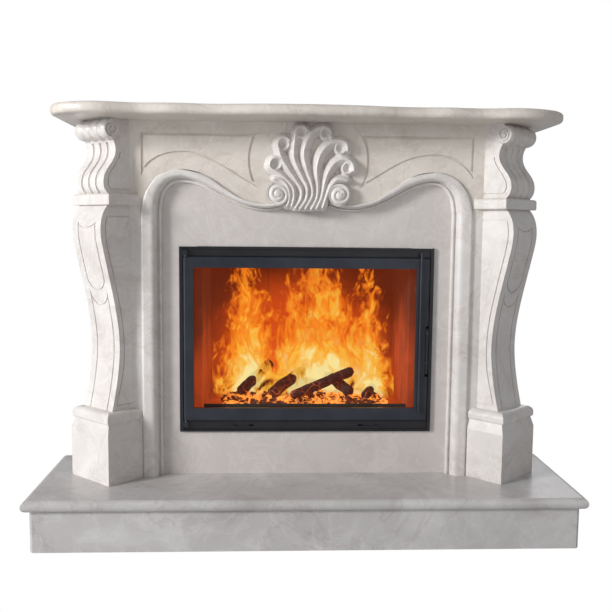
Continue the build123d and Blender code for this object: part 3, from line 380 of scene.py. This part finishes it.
# Each block of stone shows another stretch of the same quarry's pattern
stone_places = {
    "hearth": (3.1, 1.2, 0.4),
    "left": (0.7, 2.4, 1.9),
    "right": (5.2, 0.3, 2.8),
    "frieze": (7.7, 4.1, 0.9),
    "shelf": (2.2, 6.6, 3.3),
    "block": (8.8, 3.1, 5.5),
}
stone_tones = {"hearth": GREY, "frieze": CREAM, "shelf": CREAM}
stones = {}
for number, (key, place) in enumerate(stone_places.items()):
    turn = (0.3 + 0.4 * number, 0.5, 0.2 * number)
    stones[key] = marble("marble_" + key, stone_tones.get(key, PALE), place, turn)
stones["slip"] = marble("marble_slip", SLIP_TONES, (4.4, 8.2, 1.1), gloss=0.3, vein=0.15)
concrete = marble("concrete", CONCRETE_TONES, (1, 1, 1), gloss=0.75, vein=0.0)
steel = metal("zinc_steel", (0.55, 0.55, 0.56), 0.38, 1.0)
black = metal("black_paint", (0.008, 0.008, 0.011), 0.38, 0.0)
charcoal = metal("charcoal_paint", (0.022, 0.025, 0.036), 0.36, 0.2, depth=0.12)
body_paint = metal("body_paint", (0.08, 0.08, 0.085), 0.6, 0.1, depth=0.3)
cast = metal("cast_iron", (0.05, 0.045, 0.04), 0.7, 0.4, depth=0.6)
# Lining whose colour and emission are painted firelight and painted shade
lining = firelit_stone("painted_firelight_lining", (0.62, 0.085, 0.008), (1.0, 0.26, 0.03), 1.0)
bed_material = embers(
    "ember_bed",
    crust=(0.016, 0.009, 0.007),
    glow=(1.0, 0.27, 0.035),
    heat=1.9,
    scale=34,
    sharp=4.5,
    cold=0.55,
)
log_material = embers(
    "charred_wood",
    crust=(0.008, 0.005, 0.004),
    glow=(1.0, 0.15, 0.012),
    heat=1.0,
    scale=26,
    sharp=60,
    cold=0.57,
)
glass = glass_material()
rope = rope_material()
flame = flame_material()

node_materials = {
    "core_blocks": concrete,
    "frieze": stones["frieze"],
    "shell_carving": stones["block"],
    "shelf": stones["shelf"],
    "insert_frame": black,
    "hinge_lugs": charcoal,
    "log_retainer": cast,
    "door_frame": charcoal,
    "insert_body": body_paint,
    "smoke_hood": body_paint,
    "flue_collar": body_paint,
    "lining_back": lining,
    "lining_left": lining,
    "lining_right": lining,
    "floor_bricks": lining,
    "baffle": cast,
    "grate": cast,
    "ash_pan": cast,
    "ember_bed": bed_material,
    "logs": log_material,
    "door_glass": glass,
    "glass_seal": rope,
    "door_seal": rope,
    "door_lever": charcoal,
    "door_bar": charcoal,
    "primary_air_slide": charcoal,
    "secondary_air_slide": charcoal,
}
side_stones = ("corbel", "jamb", "leg", "plinth", "base", "capital", "arch", "return")
for name, cad in nodes.items():
    if name in node_materials:
        chosen = node_materials[name]
    elif name.startswith("slip"):
        chosen = stones["slip"]
    elif name.startswith(("hearth", "riser")):
        chosen = stones["hearth"]
    elif name.startswith(side_stones):
        chosen = stones["left" if name.endswith("left") else "right"]
    else:
        chosen = steel
    cad.data.materials.clear()
    cad.data.materials.append(chosen)

# Helpers for meshes


def mesh_object(name, points, faces, material, smooth=True):
    mesh = bpy.data.meshes.new(name)
    mesh.from_pydata([tuple(p) for p in points], [], faces)
    mesh.update()
    if smooth:
        mesh.polygons.foreach_set("use_smooth", [True] * len(mesh.polygons))
    obj = bpy.data.objects.new(name, mesh)
    bpy.context.scene.collection.objects.link(obj)
    mesh.materials.append(material)
    return obj


def grid_faces(rows, columns, flip=False):
    """Faces of an open grid of points."""
    faces = []
    for i in range(rows - 1):
        for j in range(columns - 1):
            a = i * columns + j
            face = (a, a + 1, a + columns + 1, a + columns)
            faces.append(face[::-1] if flip else face)
    return faces


def tube_faces(rings, spokes, base=0):
    """Faces of a grid whose rows close into rings."""
    faces = []
    for i in range(rings - 1):
        near = base + i * spokes
        far = near + spokes
        for j in range(spokes):
            k = (j + 1) % spokes
            faces.append((near + j, near + k, far + k, far + j))
    return faces


def smooth_curve(points, count):
    """Evenly spaced points on a smooth curve through the given ones."""
    points = [np.array(p, float) for p in points]
    fine = []
    for i in range(len(points) - 1):
        before = points[max(i - 1, 0)]
        start, end = points[i], points[i + 1]
        after = points[min(i + 2, len(points) - 1)]
        for t in np.linspace(0, 1, 24, endpoint=False):
            fine.append(
                0.5
                * (
                    2 * start
                    + (end - before) * t
                    + (2 * before - 5 * start + 4 * end - after) * t**2
                    + (3 * start - before - 3 * end + after) * t**3
                )
            )
    fine.append(points[-1])
    fine = np.array(fine)
    steps = np.linalg.norm(np.diff(fine, axis=0), axis=1)
    along = np.concatenate([[0], np.cumsum(steps)])
    wanted = np.linspace(0, along[-1], count)
    return np.stack([np.interp(wanted, along, fine[:, k]) for k in range(fine.shape[1])], axis=1)


# Arch moulding: a shaped section carried along three edges that close up towards the middle,
# with x and z in millimetres on the right-hand side
arch_steps = 150
arch_back = 8
outer_edge = [
    (488, 945),
    (476, 995),
    (445, 1039),
    (405, 1060),
    (372, 1064),
    (301, 1048),
    (251, 1016),
    (200, 984),
    (150, 970),
    (100, 967),
    (61, 974),
]
band_edge = [
    (442, 945),
    (434, 990),
    (412, 1024),
    (383, 1037),
    (346, 1036),
    (300, 1020),
    (250, 992),
    (199, 968),
    (150, 956),
    (110, 955),
    (61, 968),
]
bead_edge = [
    (430, 945),
    (422, 990),
    (403, 1016),
    (380, 1026),
    (346, 1025),
    (303, 1011),
    (252, 984),
    (201, 961),
    (160, 950),
    (122, 947),
    (85, 952),
    (61, 962),
]

# Sections: share of the way between two edges, and how far the stone stands forward
band_section = [
    (0, 0),
    (0, 27),
    (0.04, 32),
    (0.12, 35.4),
    (0.22, 36),
    (0.4, 36.4),
    (0.54, 36),
    (0.68, 34.5),
    (0.8, 31.4),
    (0.9, 26.5),
    (0.97, 20),
    (1, 14.5),
]
bead_section = [
    (0.02, 9),
    (0.25, 9),
    (0.3, 12.2),
    (0.5, 13.6),
    (0.75, 13),
    (0.93, 10.8),
    (1, 8),
    (1, 0),
]


def arch_points(side):
    outer = smooth_curve(outer_edge, arch_steps)
    band = smooth_curve(band_edge, arch_steps)
    bead = smooth_curve(bead_edge, arch_steps)
    points = []
    for a, b, c in zip(outer, band, bead):
        row = [(a + (b - a) * share, forward) for share, forward in band_section]
        row += [(b + (c - b) * share, forward) for share, forward in bead_section]
        points += [(side * p[0] * MM, (arch_back - forward) * MM, p[1] * MM) for p, forward in row]
    return points


# Volute at the end of each arch moulding: its place, then how far its parts rise
volute_x = 90
volute_z = 994
volute_base = -20
volute_radius = 34
volute_turns = 2.3
volute_rim = 17
volute_slope = 9
volute_groove = 6.5
volute_boss = 31
volute_rings = 34
volute_spokes = 96


def volute_points(side):
    """Round boss whose face winds inwards and rises to a knob."""
    points = []
    for i in range(volute_rings):
        share = i / (volute_rings - 1)
        radius = volute_radius * (1 - share)
        for j in range(volute_spokes):
            angle = 2 * math.pi * j / volute_spokes
            winding = (share * volute_turns + side * angle / (2 * math.pi)) % 1.0
            rise = volute_rim + volute_slope * share**1.2
            rise += volute_groove * math.sin(math.pi * winding) ** 0.7
            if share < 0.04:
                rise = 0
            if share > 0.8:
                rise = volute_boss
            x = side * volute_x + radius * math.cos(angle)
            z = volute_z + radius * math.sin(angle)
            points.append((x * MM, (volute_base - rise) * MM, z * MM))
    return points


for side, hand in SIDES:
    section_size = len(band_section) + len(bead_section)
    moulding = mesh_object(
        "arch_section_" + hand,
        arch_points(side),
        grid_faces(arch_steps, section_size, side < 0),
        stones[hand],
    )
    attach(moulding, "root")
    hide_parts("arch_moulding_" + hand)

    volute_faces = tube_faces(volute_rings, volute_spokes)
    volute = mesh_object("volute_" + hand, volute_points(side), volute_faces, stones[hand])
    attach(volute, "root")

# Shell: a carved relief made from rounded ribs and hollowed eyes


def hook(x, z, radius, start, end):
    """Tip of a rib, curling round an eye."""
    return [
        (x + radius * math.cos(math.radians(a)), z + radius * math.sin(math.radians(a)))
        for a in np.linspace(start, end, 5)
    ]


ribs = [
    [(-100, 1040), (-80, 1036), (-62, 1016), (-56, 985), (-62, 963)],
    hook(-94, 1080, 19, 60, 215) + [(-78, 1048), (-50, 1020), (-43, 992), (-49, 962)],
    hook(-72, 1137, 19, 40, 200) + [(-76, 1090), (-42, 1040), (-22, 1007), (-24, 981), (-37, 957)],
    hook(-22, 1169, 19, 30, 190) + [(-44, 1100), (-21, 1047), (-5, 1013), (-8, 981), (-24, 955)],
    [
        (62, 1159),
        (56, 1181),
        (38, 1187),
        (13, 1175),
        (-7, 1147),
        (-16, 1107),
        (-6, 1064),
        (8, 1024),
        (10, 990),
        (-8, 955),
    ],
    [
        (111, 1123),
        (105, 1143),
        (82, 1148),
        (53, 1136),
        (31, 1105),
        (22, 1065),
        (26, 1022),
        (23, 984),
        (8, 954),
    ],
    [(130, 1066), (124, 1086), (103, 1097), (77, 1088), (57, 1062), (46, 1031), (38, 990), (24, 956)],
    [(113, 1036), (84, 1038), (64, 1019), (52, 993), (41, 959)],
]
eyes = [
    (-96, 1080, 15),
    (-73, 1137, 15),
    (-22, 1171, 14),
    (47, 1169, 14),
    (91, 1128, 15),
    (112, 1071, 15),
]
shell_x = (-144, 146)
shell_z = (946, 1204)
shell_step = 1.6
shell_smoothing = 2
shell_ground = 9
shell_back = -19.5
rib_steps = 90
rib_radius = 8
rib_swell = 5.5
rib_height = 20
rib_margin = 5
eye_depth = 10
eye_dish = 12
eye_rim = 7
eye_rim_height = 13


def shifted(grid):
    """The grid moved by one step to each of its four sides."""
    return [np.roll(grid, step, axis) for axis in (0, 1) for step in (1, -1)]


def carve_ribs(grid_x, grid_z, height, cover):
    """Rounded ribs, widest in the middle and lower towards the foot."""
    for rib in ribs:
        line = smooth_curve(rib, rib_steps)
        for share, (x, z) in zip(np.linspace(0, 1, rib_steps), line):
            swell = rib_swell * math.sin(math.pi * min(1, share * 1.25))
            radius = rib_radius + swell - 0.5 * share
            distance = np.hypot(grid_x - x, grid_z - z)
            dome = np.clip(1 - distance / radius, 0, 1) ** 0.6 * (rib_height - 4 * share)
            height = np.maximum(height, np.where(distance < radius, shell_ground + dome, 0))
            cover = np.maximum(cover, distance < radius + rib_margin)
    return height, cover


def carve_eyes(grid_x, grid_z, height, cover):
    """Hollowed rounds inside the curled tips, each with a raised rim."""
    for x, z, radius in eyes:
        distance = np.hypot(grid_x - x, grid_z - z)
        rim = eye_rim_height + 10 * np.exp(-(((distance - radius) / 3.2) ** 2))
        fade = 1 - np.clip((distance - radius) / eye_rim, 0, 1) * 0.4
        dish = eye_depth + eye_dish * (distance / radius) ** 2
        near = distance < radius + eye_rim
        around = np.where(near, np.maximum(height, rim * fade), height)
        height = np.where(distance < radius, dish, around)
        cover = np.maximum(cover, near)
    return height, cover


def shell_mesh():
    """Points and faces of the relief over the covered part of a fine grid."""
    grid_x, grid_z = np.meshgrid(np.arange(*shell_x, shell_step), np.arange(*shell_z, shell_step))
    height = np.zeros_like(grid_x)
    cover = np.zeros_like(grid_x)
    height, cover = carve_ribs(grid_x, grid_z, height, cover)
    height, cover = carve_eyes(grid_x, grid_z, height, cover)
    relief = np.where(cover > 0, np.maximum(height, shell_ground), 0)
    for _ in range(shell_smoothing):
        relief = (relief * 4 + sum(shifted(relief))) / 8

    keep = cover > 0
    wide = np.logical_or.reduce([keep, *shifted(keep)])
    index = -np.ones(grid_x.shape, int)
    points = []
    for i, j in zip(*np.nonzero(wide)):
        index[i, j] = len(points)
        depth = shell_back - (relief[i, j] if keep[i, j] else 0)
        points.append((grid_x[i, j] * MM, depth * MM, grid_z[i, j] * MM))
    faces = []
    for i in range(grid_x.shape[0] - 1):
        for j in range(grid_x.shape[1] - 1):
            corners = (index[i, j], index[i, j + 1], index[i + 1, j + 1], index[i + 1, j])
            if min(corners) >= 0:
                faces.append(tuple(int(corner) for corner in corners))
    return points, faces


points, faces = shell_mesh()
shell = mesh_object("shell_relief", points, faces, stones["block"])
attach(shell, "root")
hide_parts("shell_carving")

# Charred logs with rough bark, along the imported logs: both ends above the ember bed, and the radius
rng = random.Random(11)
ember_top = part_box("ember_bed")[1].z / MM
log_lines = [
    ((-170, 262, 22.1), (175, 285, 22.1), 22),
    ((195, 120, 15.1), (235, 255, 15.1), 15),
    ((-105, 130, 18.4), (15, 300, 74.5), 19),
    ((150, 150, 17.2), (60, 300, 72.7), 18),
    ((-40, 112, 15.4), (160, 205, 80.2), 16),
    ((-205, 170, 16.5), (-110, 300, 88.2), 18),
]
log_rows = 30
log_spokes = 28


def log_points(start, end, radius):
    """Rings of bark along one log, slightly narrower at the two ends."""
    start = Vector(start) + Vector((0, 0, ember_top))
    along = Vector(end) + Vector((0, 0, ember_top)) - start
    across = along.cross(Vector((0, 0, 1))).normalized()
    upward = across.cross(along).normalized()
    waves = [(rng.uniform(2, 7), rng.uniform(0, 6.28), rng.randint(1, 5)) for _ in range(7)]
    points = []
    for i in range(log_rows + 1):
        share = i / log_rows
        for j in range(log_spokes):
            angle = 2 * math.pi * j / log_spokes
            swell = sum(math.sin(w * share * 3 + p + k * angle) for w, p, k in waves) / 7
            size = radius * (0.97 + 0.2 * swell + rng.uniform(-0.035, 0.035))
            if i in (0, log_rows):
                size *= 0.72
            spoke = across * math.cos(angle) + upward * math.sin(angle)
            p = start + along * share + spoke * size
            points.append((p.x * MM, p.y * MM, p.z * MM))
    return points


points = []
faces = []
for start, end, radius in log_lines:
    base = len(points)
    points += log_points(start, end, radius)
    faces += tube_faces(log_rows + 1, log_spokes, base)
    last = base + log_rows * log_spokes
    faces.append(tuple(base + j for j in range(log_spokes))[::-1])
    faces.append(tuple(last + j for j in range(log_spokes)))
logs = mesh_object("burning_logs", points, faces, log_material)
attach(logs, "root")
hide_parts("logs")

# Loose coals over the ember bed
coal_count = 420
coal_half_width = 262
coal_front = 78
coal_rear = 300
coal_floor = ember_top - 21
coal_corners = [(x, y, z) for x in (1, -1) for y in (1, -1) for z in (1, -1)]
coal_faces = ((0, 1, 3, 2), (4, 6, 7, 5), (0, 4, 5, 1), (2, 3, 7, 6), (0, 2, 6, 4), (1, 5, 7, 3))
points = []
faces = []
for _ in range(coal_count):
    radius = rng.uniform(5, 13)
    x = rng.uniform(-coal_half_width, coal_half_width)
    y = rng.uniform(coal_front, coal_rear)
    z = ember_top + rng.uniform(-3, 7) - abs(x) * 0.02
    base = len(points)
    turn = Matrix.Rotation(rng.uniform(0, 6.28), 3, "Z") @ Matrix.Rotation(rng.uniform(0, 6.28), 3, "X")
    for corner in coal_corners:
        wobble = Vector([c * rng.uniform(0.45, 0.95) for c in corner])
        p = Vector((x, y, z)) + turn @ wobble * radius
        points.append((p.x * MM, p.y * MM, max(p.z, coal_floor) * MM))
    faces += [tuple(base + corner for corner in face) for face in coal_faces]
coals = mesh_object("loose_coals", points, faces, bed_material, smooth=False)
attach(coals, "root")

# Flames: four wavy upright sheets whose material tears them into licks
flame_sheets = ((215, 0.4), (260, 2.1), (305, 3.9), (345, 5.2))
flame_half_width = 300
flame_foot = FLAME_FOOT / MM
flame_height = 438
flame_columns = 60
flame_rows = 44
points = []
faces = []
for y, phase in flame_sheets:
    base = len(points)
    for i in range(flame_rows + 1):
        z = flame_foot + flame_height * i / flame_rows
        for j in range(flame_columns + 1):
            x = -flame_half_width + 2 * flame_half_width * j / flame_columns
            wave = 14 * math.sin(x * 0.02 + phase) + 9 * math.sin(z * 0.03 + phase * 2)
            points.append((x * MM, (y + wave) * MM, z * MM))
    sheet = grid_faces(flame_rows + 1, flame_columns + 1)
    faces += [tuple(base + corner for corner in face) for face in sheet]
flames = mesh_object("flames", points, faces, flame)
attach(flames, "root")

# Floor: pale and plain, and pure white to the camera
floor_reach = 9
floor_material, tree, shader = new_material("floor")
vector = place_node(tree)
soft = noise(tree, vector, 3, 3, 0.5)
floor_tone = ramp(tree, soft, [(0.3, (0.6, 0.6, 0.6)), (0.7, (0.64, 0.64, 0.64))])
tree.links.new(floor_tone, shader.inputs["Base Color"])
shader.inputs["Roughness"].default_value = 0.9
glare = tree.nodes.new("ShaderNodeEmission")
glare.inputs["Color"].default_value = (1, 1, 1, 1)
floor_surface = seen_by_camera(tree, glare.outputs[0], shader.outputs[0])
tree.links.new(floor_surface, tree.nodes["Material Output"].inputs["Surface"])
floor_corners = [(x * floor_reach, y * floor_reach, 0) for x, y in ((-1, -1), (1, -1), (1, 1), (-1, 1))]
floor = mesh_object("floor", floor_corners, [(0, 1, 2, 3)], floor_material)

# Surroundings: white to the camera, a soft cool light for the rest
scene = bpy.context.scene
world = bpy.data.worlds.new("studio")
scene.world = world
world.use_nodes = True
tree = world.node_tree
tree.nodes.clear()
plain = tree.nodes.new("ShaderNodeBackground")
plain.inputs["Color"].default_value = (1, 1, 1, 1)
plain.inputs["Strength"].default_value = 1.0
ambient = tree.nodes.new("ShaderNodeBackground")
ambient.inputs["Color"].default_value = (0.93, 0.96, 1.0, 1)
ambient.inputs["Strength"].default_value = 0.32
out = tree.nodes.new("ShaderNodeOutputWorld")
tree.links.new(seen_by_camera(tree, plain.outputs[0], ambient.outputs[0]), out.inputs["Surface"])


def lamp(name, place, target, size, power, colour):
    """Round soft lamp, aimed at a point."""
    data = bpy.data.lights.new(name, "AREA")
    data.shape = "DISK"
    data.size = size
    data.energy = power
    data.color = colour
    obj = bpy.data.objects.new(name, data)
    obj.location = place
    obj.rotation_euler = (Vector(target) - Vector(place)).to_track_quat("-Z", "Y").to_euler()
    scene.collection.objects.link(obj)


lamp("key", (-5.0, -2.8, 2.5), (0, -0.1, 0.7), 1.4, 300, (1.0, 0.99, 0.98))
lamp("window", (-3.4, -2.0, 0.5), (0.4, -0.1, 0.3), 1.0, 13, (0.80, 0.90, 1.0))
lamp("fill", (1.6, -4.2, 1.8), (0, 0, 0.6), 2.5, 18, (1.0, 0.98, 0.96))
lamp("rear", (1.5, 3.5, 2.5), (0, 0.3, 0.6), 2.5, 40, (1.0, 1.0, 1.0))

# Camera, placed by the photo's level and upright edges
camera_right = Vector((0.99893039, -0.04515395, 0.00995983))
camera_up = Vector((-0.00540111, 0.09997896, 0.99497489))
camera_forward = Vector((0.04592282, 0.99396445, -0.09962814))
camera_place = Vector((-0.11134, -2.33802, 0.89972))
camera_data = bpy.data.cameras.new("camera")
camera_data.sensor_width = 36
camera_data.lens = 46.24
camera = bpy.data.objects.new("camera", camera_data)
camera_turn = Matrix((camera_right, camera_up, -camera_forward)).transposed().to_4x4()
camera.matrix_world = Matrix.Translation(camera_place) @ camera_turn
scene.collection.objects.link(camera)
scene.camera = camera
scene.view_settings.view_transform = "Standard"
